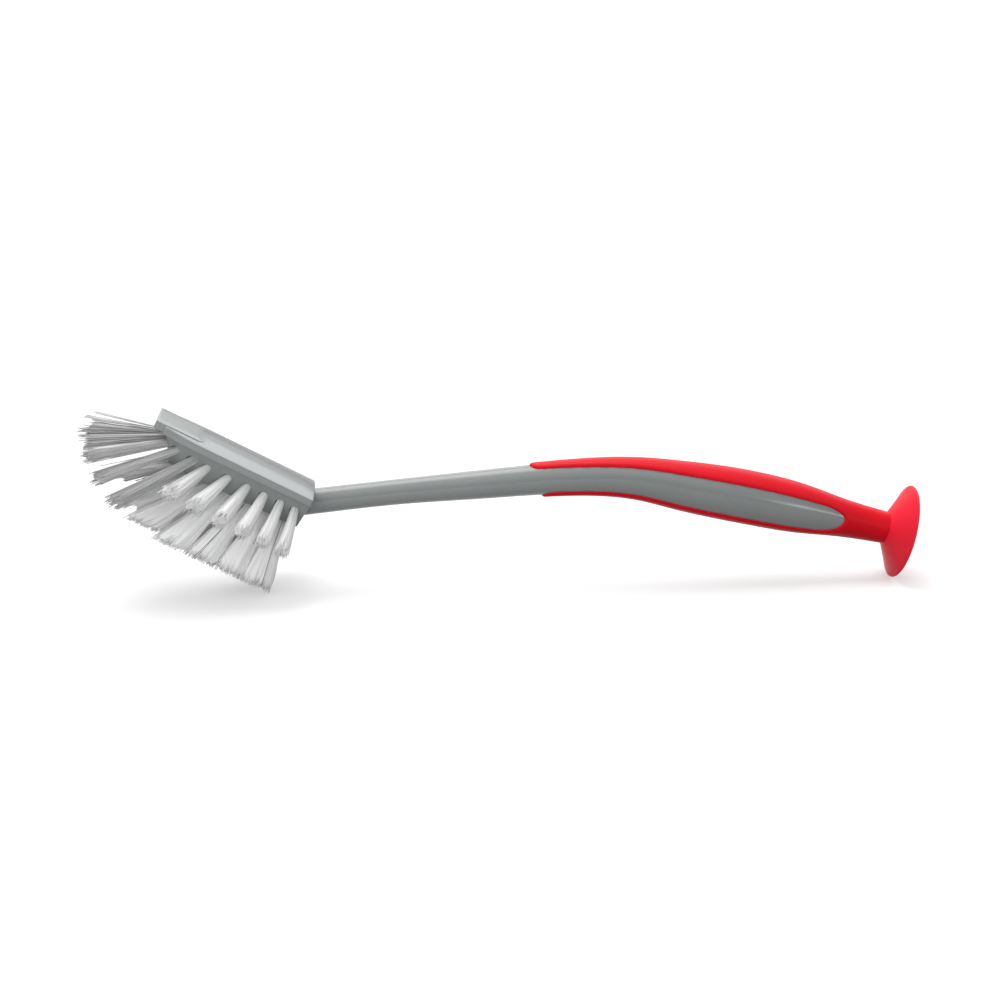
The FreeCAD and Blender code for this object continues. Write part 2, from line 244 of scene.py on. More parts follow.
class HeadSizes(PropertyGroup):
    """The head: a crowned flange, a keel under it and a tongue that overhangs the tip."""

    length: distance("Length", "Flange length from heel to tip", 0.055)
    width: distance("Width", "Flange width", 0.028)
    tilt: turn("Tilt", "How far the head leans up from the floor", 27.8)
    crown: distance("Crown", "Rise of the back at its middle", 0.0008)
    plateau: share("Plateau", "Width of the back's flat middle, against its whole width", 0.25)
    ridge: share("Ridge", "Softness of the plateau's edges, against half the back's width", 0.12)
    thickness: distance("Flange thickness", "Height of the flange's edge", 0.0025)
    taper: distance("Taper length", "Length over which the flange narrows to the tip", 0.015)
    tip_width: distance("Tip width", "Flange width at the tip", 0.022)
    edge: distance("Edge radius", "Rounding of the flange's top edge", 0.0005)
    corner: distance("Corner radius", "Rounding of the flange's corners, seen from above", 0.0008)
    keel_depth: distance("Keel depth", "Depth of the keel below the flange", 0.0098)
    keel_inset: distance("Keel inset", "How far the keel stands in from the flange's edge", 0.0014)
    keel_tip_width: distance("Keel tip width", "Width of the keel at its tip", 0.018)
    keel_edge: distance("Keel edge radius", "Rounding of the keel's low edge", 0.0006)
    keel_corner: distance("Keel corner radius", "Rounding of the keel's corners, seen from above", 0.0008)
    flank_draft: turn("Flank draft", "Slope of the keel's flanks", 24)
    tip_draft: turn("Tip draft", "Slope of the keel's tip", 27)
    heel_inset: distance("Heel inset", "How far the keel's heel stands in from the flange's", 0.0002)
    heel_draft: turn("Heel draft", "Slope of the keel's heel", 2)
    tongue_length: distance("Tongue length", "Length of the raised tongue", 0.0174)
    tongue_width: distance("Tongue width", "Width of the raised tongue", 0.020)
    tongue_overhang: distance("Tongue overhang", "How far the tongue passes the tip", 0.0034)
    tongue_rise: distance("Tongue rise", "Height of the tongue's top above the flange's edge", 0.00085)
    tongue_droop: distance("Tongue droop", "Depth of the tongue's underside below the flange's edge", 0.0023)
    tongue_fall: distance("Tongue fall", "How far the tongue's top falls towards its edges", 0.0003)
    tongue_edge: distance("Tongue edge", "Width of the slope along the tongue's edges", 0.0032)
    tongue_corner: distance("Tongue corner radius", "Rounding of the tongue's rear end", 0.003)
    hole_diameter: distance("Tuft hole", "Width of a tuft hole at its mouth", 0.0033)


class HandleSizes(PropertyGroup):
    """The core of the handle, from the head's heel to the cup."""

    run: distance("Run", "Length of the handle along the floor", 0.1989)
    arch: distance("Arch", "Height of the handle's arch above the cup's end", 0.0202)
    drop: distance("Heel drop", "How far below the back's edge the handle leaves the heel", 0.00363)
    diameter: distance("Diameter", "Largest diameter of the core", 0.0172)
    root: distance("Root", "How far the core reaches into the head", 0.006)


class GripSizes(PropertyGroup):
    """The soft stripes over the core and the sleeve that joins them."""

    length: distance("Length", "Length from the upper stripe's nose to the cup", 0.1248)
    low_setback: distance("Lower setback", "How far the lower stripe starts behind the upper one", 0.0035)
    nose: distance("Nose length", "Length over which a stripe's nose opens", 0.0032)
    sleeve: distance("Sleeve length", "Length of the sleeve beside the cup", 0.0160)
    panel_end: distance("Panel end", "Length over which the bare panel closes", 0.0084)
    proud: distance("Height", "Height of the soft skin above the core", 0.0008)
    edge: distance("Edge radius", "Rounding of the skin's edge", 0.0011)
    bed: distance("Bed", "How far the skin reaches into the core", 0.0004)
    upper_start: turn("Upper seam, nose", "Upper seam above the side at the stripe's nose", 58)
    upper_end: turn("Upper seam, sleeve", "Upper seam above the side at the sleeve", 35)
    lower_seam: turn("Lower seam", "Lower seam below the side", 46.5)
    tip_turn: turn("Panel tip", "Height of the panel's closing tip above the side", 7)


class CupSizes(PropertyGroup):
    """The suction cup on the end of the handle."""

    diameter: distance("Diameter", "Diameter of the cup's rim", 0.0328)
    depth: distance("Depth", "Depth from the rim to the hub's back", 0.0066)
    hub: distance("Hub diameter", "Diameter of the cup where it meets the sleeve", 0.0104)
    hub_thickness: distance("Hub thickness", "Thickness of the cup at its middle", 0.0023)
    rim: distance("Rim thickness", "Thickness of the rounded rim", 0.0004)
    bulge: distance("Bulge", "How far the cup's back is hollowed between hub and rim", 0.0001)


class BristleSizes(PropertyGroup):
    """The nylon filaments of the tufts."""

    flank_count: number("Flank filaments", "Loose filaments in a tuft of the flanks", 60)
    inner_count: number("Inner filaments", "Loose filaments in a long tuft under the keel", 90)
    tip_count: number("Tip filaments", "Loose filaments in a tuft of the tip and shoulders", 70)
    diameter: distance("Diameter", "Diameter of a filament", 0.00032)
    hole_depth: distance("Hole depth", "Depth of a tuft hole", 0.005)
    collar: distance("Collar", "How far a tuft stays straight outside its hole", 0.0016)
    shown_root: distance("Root", "How far the filaments are drawn down into the hole", 0.002)
    gather: share("Gathering", "Width of a tuft at its root, against the CAD tuft", 0.88)
    flank_spread: share("Flank spread", "Width of a flank tuft at its end, against the CAD tuft", 1.4)
    flank_reach: share("Flank reach", "Length of a flank tuft, against the CAD tuft", 0.87)
    inner_spread: share("Inner spread", "Width of a long tuft at its end, against the CAD tuft", 1.2)
    inner_stretch: share("Inner stretch", "Length along the head of a long tuft's end against its width", 1.8)
    tip_spread: share("Tip spread", "Width of a tip tuft at its end, against the CAD tuft", 0.95)
    splayed_spread: share("Splayed spread", "Width of the worn tip tuft's end, against the CAD tuft", 1.9)
    splayed_reach: share("Splayed reach", "Length of the worn tip tuft, against the CAD tuft", 1.33)
    tip_reach: share("Tip reach", "Length of the near tip tuft, against the CAD tuft", 1.14)
    root_lean: distance("Root lean", "How far a tuft is pulled to the heel's side of its hole", 0.0003)
    flank_drift: distance("Flank drift", "Brushing to the tip, for each row before the fourth", 0.0003)
    shoulder_reach: share("Shoulder reach", "Length of the near shoulder tufts, against the CAD tufts", 1.05)
    # Painted shade: the flank tufts are of the same white nylon and are made darker by this tone, since their
    # ends catch more light.
    flank_painted_shade_tone: share("Flank tone", "Brightness of the flank tufts, whose ends catch the light", 0.8)
    flank_clump: share("Flank clumping", "How far the flank filaments draw together in strands", 0.1)
    inner_clump: share("Inner clumping", "How far the long filaments draw together in strands", 0.2)
    tip_clump: share("Tip clumping", "How far the tip filaments draw together in strands", 0.5)
    bow: share("Bow", "Sideways bend of a filament as a part of its length", 0.012)
    ragged: distance("Raggedness", "Spread of the filament lengths", 0.0018)
    columns: number("Packed filaments", "Filaments round the packed heart of a tuft", 60)
    heart: share("Heart", "Width of a packed heart, against its tuft", 1.0)
    tip_heart: share("Tip heart", "Width of a packed heart in the tip, against its tuft", 0.75)
    near_drift: distance("Near drift", "How far the near long tufts are brushed towards the tip", 0.0016)
    far_drift: distance("Far drift", "How far the far long tufts are brushed towards the tip", 0.0052)
    raised: distance("Raised ends", "Brushing up of a long tuft, for each row past the fourth", 0.0026)
    # Painted shade: the tip and shoulder tufts are of the same white nylon and are made darker by this tone
    # for the shade that falls on them.
    tip_painted_shade_tone: share("Tip tone", "Whiteness of the tip tufts, against the others", 0.46)
    strays: share("Strays", "Part of the filaments that stand away from their tuft", 0.05)
    seed: number("Seed", "Seed of the filaments' arrangement", 7)


class Finishes(PropertyGroup):
    """The colours of the materials."""

    body: colour("Body grey", "Colour of the moulded body", 0.222, 0.240, 0.237)
    grip: colour("Grip red", "Colour of the soft grip", 0.66, 0.005, 0.016)
    # Painted light: the cup is of the grip's own red and is given a lighter red with more green and blue for
    # the light and pink highlight that fall on it.
    cup: colour("Cup red", "Colour of the suction cup", 0.82, 0.018, 0.040)
    nylon: colour("Bristle white", "Colour of the nylon filaments", 0.965, 0.967, 0.97)
    steel: colour("Staple steel", "Colour of the tuft staples", 0.56, 0.55, 0.53)
    floor: colour("Floor", "Colour of the floor", 0.56, 0.56, 0.56)


class StageSizes(PropertyGroup):
    """The camera and the lights."""

    azimuth: turn("Camera azimuth", "Turn of the camera round the brush", -4.1)
    elevation: turn("Camera elevation", "Height of the camera above the horizon", 15)
    range: distance("Camera distance", "Distance from the camera to its target", 0.690)
    target_ahead: distance("Target along", "Camera target beyond the heel, along the handle", 0.0636)
    target_drop: distance("Target drop", "Camera target below the heel", 0.00448)
    lens: FloatProperty(name="Lens", description="Focal length in millimetres", default=72, unit="CAMERA")
    key: light_level("Key light", "Strength of the light from above", 1.6)
    fill: light_level("Fill light", "Strength of the light from all round", 0.24)
    sky: light_level("Sky light", "Added strength of the light overhead", 0.75)
    side: light_level("Side light", "Watts of the softbox at the head's end", 2.4)
    back: light_level("Back light", "Watts of the softbox behind the brush", 6.5)
    low: light_level("Low light", "Watts of the softbox low before the head", 0.46)
    strip: light_level("Strip light", "Watts of the strip beside the camera", 1.2)


class BrushSettings(PropertyGroup):
    """Every setting of the dish brush."""

    head: PointerProperty(type=HeadSizes)
    handle: PointerProperty(type=HandleSizes)
    grip: PointerProperty(type=GripSizes)
    cup: PointerProperty(type=CupSizes)
    bristles: PointerProperty(type=BristleSizes)
    finishes: PointerProperty(type=Finishes)
    stage: PointerProperty(type=StageSizes)


class Value:
    """A node's output that takes part in Python arithmetic."""

    def __init__(self, surface, socket):
        self.surface = surface
        self.socket = socket

    def math(self, operation, first, second):
        """The output of a new node that joins two values."""
        return self.surface.add("ShaderNodeMath", {"operation": operation}, {0: first, 1: second})

    def __add__(self, other):
        return self.math("ADD", self, other)

    def __radd__(self, other):
        return self.math("ADD", other, self)

    def __rmul__(self, other):
        return self.math("MULTIPLY", other, self)


class Surface:
    """A node tree that is filled node by node."""

    def __init__(self, tree):
        self.tree = tree
        self.tree.nodes.clear()

    def add(self, kind, settings, sockets, output=0):
        """Adds a node, sets it up, fills its sockets and returns one of its outputs."""
        node = self.tree.nodes.new(kind)
        for name, value in settings.items():
            setattr(node, name, value)
        for name, value in sockets.items():
            if isinstance(value, Value):
                self.tree.links.new(value.socket, node.inputs[name])
            else:
                node.inputs[name].default_value = value
        if not node.outputs:
            return None
        return Value(self, node.outputs[output])

    def place(self):
        """The point's place in the row frame, in metres."""
        return self.add("ShaderNodeTexCoord", {}, {}, "Object")

    def noise(self, place, scale, detail):
        """A cloudy value between 0 and 1."""
        return self.add(
            "ShaderNodeTexNoise", {}, {"Vector": place, "Scale": scale, "Detail": detail, "Roughness": 0.6}
        )

    def mix_colour(self, factor, first, second):
        """A colour between two others."""
        return self.add(
            "ShaderNodeMix", {"data_type": "RGBA"}, {0: factor, 6: first, 7: second}, 2
        )

    def bump(self, height, strength, depth):
        """A normal that is ruffled by a height."""
        return self.add(
            "ShaderNodeBump", {}, {"Height": height, "Strength": strength, "Distance": depth}
        )


def shaded(tint, factor):
    """A colour made lighter or darker."""
    return [min(1, part * factor) for part in tint[:3]] + [1]


def new_surface(name):
    """A new material and its empty node tree."""
    material = bpy.data.materials.new(name)
    material.use_nodes = True
    return material, Surface(material.node_tree)


def moulded_material(name, tint, roughness, grain_depth, constants):
    """A moulded plastic or rubber: faint flow clouds, a fine spark-eroded grain and uneven gloss."""
    material, surface = new_surface(name)
    place = surface.place()
    clouds = surface.noise(place, scale=45, detail=3)
    blotches = surface.noise(place, scale=420, detail=2)
    grain = surface.noise(place, scale=3200, detail=2)
    tone = 0.7 * clouds + 0.3 * blotches
    gloss = roughness - 0.06 + 0.08 * clouds + 0.04 * grain
    height = 0.75 * grain + 0.25 * blotches
    shader = surface.add(
        "ShaderNodeBsdfPrincipled",
        {},
        {
            "Base Color": surface.mix_colour(tone, shaded(tint, 0.9), shaded(tint, 1.1)),
            "Roughness": gloss,
            "Normal": surface.bump(height, strength=0.35, depth=grain_depth),
            **constants,
        },
    )
    surface.add("ShaderNodeOutputMaterial", {}, {"Surface": shader})
    return material


def nylon_material(name, tint):
    """Clear white nylon that lets light through: each filament has its own tone, which also carries painted
    shade.
    """
    material, surface = new_surface(name)
    tone = surface.add("ShaderNodeAttribute", {"attribute_name": "tone"}, {}, "Fac")
    along = surface.add("ShaderNodeAttribute", {"attribute_name": "along"}, {}, "Fac")
    grain = surface.noise(surface.place(), scale=2400, detail=2)
    # The tone attribute holds random tones and painted shade: darker tip, shoulder and flank tufts, darker
    # inner tufts past the middle row, and dark filaments for the shade between filaments.
    light = 0.85 * tone + 0.15 * grain
    body = surface.mix_colour(light, shaded(tint, 0.2), shaded(tint, 1.03))
    shader = surface.add(
        "ShaderNodeBsdfPrincipled",
        {},
        {
            "Base Color": body,
            "Roughness": 0.24 + 0.12 * grain + 0.1 * along,
            "Normal": surface.bump(grain, strength=0.3, depth=0.00002),
            "IOR": 1.53,
        },
    )
    glow = surface.add("ShaderNodeBsdfTranslucent", {}, {"Color": body})
    mixed = surface.add("ShaderNodeMixShader", {}, {0: NYLON_GLOW, 1: shader, 2: glow})
    surface.add("ShaderNodeOutputMaterial", {}, {"Surface": mixed})
    return material


def steel_material(name, tint):
    """Drawn staple wire: streaks along the metal and an uneven polish."""
    material, surface = new_surface(name)
    place = surface.place()
    streaks = surface.noise(place, scale=5200, detail=3)
    clouds = surface.noise(place, scale=600, detail=2)
    shader = surface.add(
        "ShaderNodeBsdfPrincipled",
        {},
        {
            "Base Color": surface.mix_colour(clouds, shaded(tint, 0.85), shaded(tint, 1.1)),
            "Metallic": 1,
            "Roughness": 0.24 + 0.2 * streaks,
            "Normal": surface.bump(streaks, strength=0.2, depth=0.00001),
        },
    )
    surface.add("ShaderNodeOutputMaterial", {}, {"Surface": shader})
    return material


def spline_through(places, values):
    """A smooth curve through the values at the places, as a function (a natural cubic spline)."""
    last = len(places) - 1
    gaps = [places[i + 1] - places[i] for i in range(last)]
    slopes = [(values[i + 1] - values[i]) / gaps[i] for i in range(last)]
    rows = numpy.identity(last + 1)
    sides = numpy.zeros(last + 1)
    for i in range(1, last):
        rows[i, i - 1] = gaps[i - 1]
        rows[i, i] = 2 * (gaps[i - 1] + gaps[i])
        rows[i, i + 1] = gaps[i]
        sides[i] = 6 * (slopes[i] - slopes[i - 1])
    bends = numpy.linalg.solve(rows, sides)

    def at(place):
        i = min(max(bisect.bisect(places, place) - 1, 0), last - 1)
        gap = gaps[i]
        before = (place - places[i]) / gap
        after = 1 - before
        bow = bends[i] * (after**3 - after) + bends[i + 1] * (before**3 - before)
        return after * values[i] + before * values[i + 1] + bow * gap * gap / 6

    return at


def steps(start, end, count):
    """Evenly spaced numbers from start to end, both included."""
    return [start + (end - start) * i / count for i in range(count + 1)]


def circle(count):
    """Evenly spaced angles of a full turn."""
    return steps(0, FULL_TURN, count)[:-1]


def quarter(radius, first, last, count):
    """Steps round a rounded edge, as ways in from its side and down from its top."""
    turns = [math.radians(angle) for angle in steps(first, last, count)]
    return [(radius * (1 - math.cos(angle)), radius * (1 - math.sin(angle))) for angle in turns]


class Layout:
    """Where the pieces of the brush stand in the row frame, from the settings and the cup's mount."""

    def __init__(self, settings):
        mount = frame["record"]["mounts"][0]
        self.cup_axis = Vector(mount["axis"]).normalized()
        rim = Vector(mount["pos_m"])
        self.rim_centre = Vector((rim.x, 0, rim.z))
        handle = settings.handle
        base = -handle.drop - handle.arch * HANDLE_STATIONS[0][1]
        cup_end = self.rim_centre - self.cup_axis * settings.cup.depth
        self.heel = cup_end - Vector((handle.run, 0, base))
        places = [row[0] * handle.run for row in HANDLE_STATIONS]
        heights = [base + row[1] * handle.arch for row in HANDLE_STATIONS]
        radii = [row[2] * handle.diameter / 2 for row in HANDLE_STATIONS]
        self.height = spline_through(places, heights)
        self.radius = spline_through(places, radii)
        tilt = settings.head.tilt
        self.ahead = Vector((-math.cos(tilt), 0, math.sin(tilt)))
        self.up = Vector((math.sin(tilt), 0, math.cos(tilt)))

    def on_head(self, ahead, side, up):
        """A point of the head: ahead of the heel, towards the near side and above the back's edge."""
        return self.heel + ahead * self.ahead + side * NEAR_SIDE + up * self.up

    def on_handle(self, along, angle, lift):
        """A point round the handle: the angle goes up from the near side, the lift out from the core."""
        reach = 0.0005
        rise = self.height(along + reach) - self.height(along - reach)
        line = Vector((2 * reach, 0, rise)).normalized()
        upright = Vector((-line.z, 0, line.x))
        centre = self.heel + Vector((along, 0, self.height(along)))
        outward = math.cos(angle) * NEAR_SIDE + math.sin(angle) * upright
        return centre + outward * (self.radius(along) + lift)


def skin_rings(mesh, rings, centre=None):
    """Joins closed rings of points, each with the next one, and closes the first and the last.

    The first ring is closed with a fan when a centre is given.
    """
    made = [[mesh.verts.new(point) for point in ring] for ring in rings]
    for lower, upper in zip(made, made[1:]):
        for i in range(len(lower)):
            j = (i + 1) % len(lower)
            mesh.faces.new((lower[i], lower[j], upper[j], upper[i]))
    first = made[0]
    if centre is None:
        mesh.faces.new(first)
    else:
        hub = mesh.verts.new(centre)
        for i in range(len(first)):
            mesh.faces.new((first[i], first[(i + 1) % len(first)], hub))
    mesh.faces.new(made[-1])


def new_piece(name, mesh, material, smooth=True):
    """Turns a mesh into an object of the scene with its material, and smooths its faces."""
    bmesh.ops.remove_doubles(mesh, verts=mesh.verts, dist=MERGE_DISTANCE)
    bmesh.ops.dissolve_degenerate(mesh, edges=mesh.edges, dist=MERGE_DISTANCE / 2)
    bmesh.ops.recalc_face_normals(mesh, faces=mesh.faces)
    data = bpy.data.meshes.new(name)
    mesh.to_mesh(data)
    mesh.free()
    if material:
        data.materials.append(material)
    piece = bpy.data.objects.new(name, data)
    bpy.context.scene.collection.objects.link(piece)
    if smooth:
        shade(piece)
    return piece


def shade(piece):
    """Smooth shading with sharp edges where the surface turns."""
    piece.data.shade_smooth()
    piece.data.set_sharp_from_angle(angle=SHARP_ANGLE)


def hand_over(piece, node):
    """The piece stands for a CAD node and rides the brush's one body."""
    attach(piece, "root")
    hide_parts(node)


def combine(piece, tool, operation):
    """Joins a tool to a piece or cuts it out, and takes the tool away."""
    modifier = piece.modifiers.new(operation, "BOOLEAN")
    modifier.object = tool
    modifier.operation = operation
    modifier.solver = "EXACT"
    modifier.use_self = True
    shapes = bpy.context.evaluated_depsgraph_get()
    result = bpy.data.meshes.new_from_object(piece.evaluated_get(shapes))
    if len(result.polygons) == 0:
        raise RuntimeError("the boolean left nothing of " + piece.name)
    mesh = bmesh.new()
    mesh.from_mesh(result)
    bmesh.ops.dissolve_degenerate(mesh, dist=MERGE_DISTANCE, edges=mesh.edges[:])
    mesh.to_mesh(result)
    mesh.free()
    piece.modifiers.clear()
    piece.data = result
    bpy.data.objects.remove(tool)


def round_corner(before, corner, after, radius, count):
    """Points on an arc that rounds a corner of an outline."""
    back = (before - corner).normalized()
    onward = (after - corner).normalized()
    half = back.angle(onward) / 2
    middle = corner + (back + onward).normalized() * (radius / math.sin(half))
    sweep = math.pi - 2 * half
    first = corner + back * (radius / math.tan(half)) - middle
    sense = 1 if back.x * onward.y - back.y * onward.x < 0 else -1
    points = []
    for i in range(count + 1):
        angle = sense * sweep * i / count
        spin = Matrix.Rotation(angle, 2)
        points.append(middle + spin @ first)
    return points


def round_outline(corners, arc_count):
    """A closed outline through corners given as a point and a radius, with the rounded ones as arcs."""
    points = []
    for i, (corner, radius) in enumerate(corners):
        if radius == 0:
            points.append(corner)
            continue
        before = corners[i - 1][0]
        after = corners[(i + 1) % len(corners)][0]
        points += round_corner(before, corner, after, radius, arc_count)
    return points


def head_outline(heel, shoulder, tip, half, tip_half, corner):
    """The plan of the flange or of a keel layer: straight sides that curve in to the tip."""
    curve = []
    for part in steps(0.125, 0.875, count=6):
        ahead = shoulder + (tip - shoulder) * part
        out = half - (half - tip_half) * part * part
        curve.append((Vector((ahead, out)), 0))
    side = [(Vector((shoulder * part + heel * (1 - part), half)), 0) for part in (0.25, 0.5, 0.75, 1)]
    near = [(Vector((heel, half)), corner), *side, *curve, (Vector((tip, tip_half)), corner)]
    across_tip = [(Vector((tip, tip_half * part)), 0) for part in (0.66, 0.33, 0, -0.33, -0.66)]
    across_heel = [(Vector((heel, half * part)), 0) for part in (-0.75, -0.5, -0.25, 0, 0.25, 0.5, 0.75)]
    far = [(Vector((point.x, -point.y)), radius) for point, radius in reversed(near)]
    return round_outline([*near, *across_tip, *far, *across_heel], CORNER_STEPS)


class BrushOperator:
    """What the brush's operators share."""

    bl_options = {"REGISTER", "UNDO"}

    def execute(self, context):
        self.build(context.scene.dish_brush)
        return {"FINISHED"}


class MouldHead(BrushOperator, Operator):
    """Moulds the head: crowned flange, keel with tuft holes, and tongue"""

    bl_idname = "dish_brush.mould_head"
    bl_label = "Mould head"

    def build(self, settings):
        head = settings.head
        layout = Layout(settings)
        material = body_material(settings)
        piece = self.flange_and_keel(head, layout, material)
        combine(piece, self.tongue(head, layout, material), "UNION")
        combine(piece, self.hole_cutters(settings), "DIFFERENCE")
        shade(piece)
        hand_over(piece, "brush_body")

    def flange_outline(self, head, inset):
        """The flange's plan, moved in from its edge."""
        return head_outline(
            inset,
            head.length - head.taper,
            head.length - inset,
            head.width / 2 - inset,
            head.tip_width / 2 - inset,
            max(head.corner - inset, FLANGE_ROUNDING),
        )

    def flange_ring(self, head, layout, inset, up, crowned):
        """A ring of the flange, moved in from its edge."""
        outline = self.flange_outline(head, inset)
        return [self.flange_point(head, layout, point, up, crowned) for point in outline]

    def flange_point(self, head, layout, point, up, crowned):
        """A point of the flange, lifted by the back's crown."""
        edge = math.hypot(1 - head.plateau, head.ridge)
        past = max(abs(2 * point.y / head.width) - head.plateau, 0)
        slope = (edge - math.hypot(past, head.ridge)) / (edge - head.ridge)
        lift = head.crown * slope if crowned else 0
        return layout.on_head(point.x, point.y, up + lift)

    def keel_ring(self, head, layout, depth, inset):
        """A ring of the keel at a depth below the flange."""
        flank = depth * math.tan(head.flank_draft) + inset
        rake = depth * math.tan(head.tip_draft) + inset
        outline = head_outline(
            head.heel_inset + depth * math.tan(head.heel_draft) + inset,
            head.length - head.taper - rake,
            head.length - head.keel_inset - rake,
            head.width / 2 - head.keel_inset - flank,
            head.keel_tip_width / 2 - flank,
            max(head.keel_corner - inset, KEEL_ROUNDING),
        )
        up = -head.thickness - depth
        return [layout.on_head(point.x, point.y, up) for point in outline]

    def flange_and_keel(self, head, layout, material):
        """The flange's crowned back, rounded edge and underside, then the keel down to its floor."""
        mesh = bmesh.new()
        rings = []
        middle = Vector((head.length / 2, 0))
        outline = self.flange_outline(head, head.edge)
        for size in BACK_RINGS:
            ring = [middle + (point - middle) * size for point in outline]
            rings.append([self.flange_point(head, layout, point, 0, True) for point in ring])
        for out, down in quarter(head.edge, first=90, last=0, count=5):
            rings.append(self.flange_ring(head, layout, out, -down, True))
        for out, down in quarter(head.edge * LOW_EDGE_SHARE, first=0, last=90, count=4):
            rings.append(self.flange_ring(head, layout, out, down - head.thickness, False))
        for depth in steps(0, head.keel_depth - head.keel_edge, count=3):
            rings.append(self.keel_ring(head, layout, depth, 0))
        for inset, rest in quarter(head.keel_edge, first=18, last=90, count=4):
            rings.append(self.keel_ring(head, layout, head.keel_depth - rest, inset))
        skin_rings(mesh, rings, self.flange_point(head, layout, middle, 0, True))
        return new_piece("moulded_head", mesh, material)

    def tongue(self, head, layout, material):
        """The raised tongue as a slab that passes the tip, with sloping edges on its back."""
        mesh = bmesh.new()
        front = head.length + head.tongue_overhang
        rear = front - head.tongue_length
        levels = []
        for part in steps(0, 1, TONGUE_STEPS):
            up = head.tongue_rise - head.tongue_fall * part * part
            levels.append((head.tongue_edge * (1 - part), NOSE_EDGE * (1 - part), up))
        levels.append((0, 0, TONGUE_LOW_EDGE - head.tongue_droop))
        levels.append((TONGUE_LOW_EDGE, TONGUE_LOW_EDGE, -head.tongue_droop))
        rings = []
        for inset, front_inset, up in levels:
            half = head.tongue_width / 2 - inset
            nose = front - front_inset
            rounding = max(head.tongue_corner - inset, TONGUE_ROUNDING)
            corners = [
                (Vector((rear + inset, half)), rounding),
                (Vector((nose, half)), NOSE_CORNER),
                (Vector((nose, -half)), NOSE_CORNER),
                (Vector((rear + inset, -half)), rounding),
            ]
            outline = round_outline(corners, TONGUE_STEPS)
            rings.append([layout.on_head(point.x, point.y, up) for point in outline])
        skin_rings(mesh, rings)
        return new_piece("tongue_tool", mesh, material)

    def hole_cutters(self, settings):
        """Round pins through the mouths of all tuft holes."""
        mesh = bmesh.new()
        radius = settings.head.hole_diameter / 2
        for node in tuft_nodes():
            tuft = Tuft(node, settings.bristles)
            rings = []
            for reach in (-settings.bristles.hole_depth, CUTTER_REACH):
                centre = tuft.mouth + tuft.axis * reach
                rings.append([centre + tuft.spoke(angle) * radius for angle in circle(HOLE_SIDES)])
            skin_rings(mesh, rings)
        return new_piece("hole_tool", mesh, None)


class MouldHandle(BrushOperator, Operator):
    """Moulds the grey core of the handle, from inside the heel to the cup"""

    bl_idname = "dish_brush.mould_handle"
    bl_label = "Mould handle core"

    def build(self, settings):
        layout = Layout(settings)
        handle = settings.handle
        mesh = bmesh.new()
        rings = []
        for along in steps(-handle.root, handle.run, CORE_ROWS):
            rings.append([layout.on_handle(along, angle, 0) for angle in circle(CORE_SIDES)])
        skin_rings(mesh, rings)
        piece = new_piece("handle_core", mesh, body_material(settings))
        hand_over(piece, "brush_body")


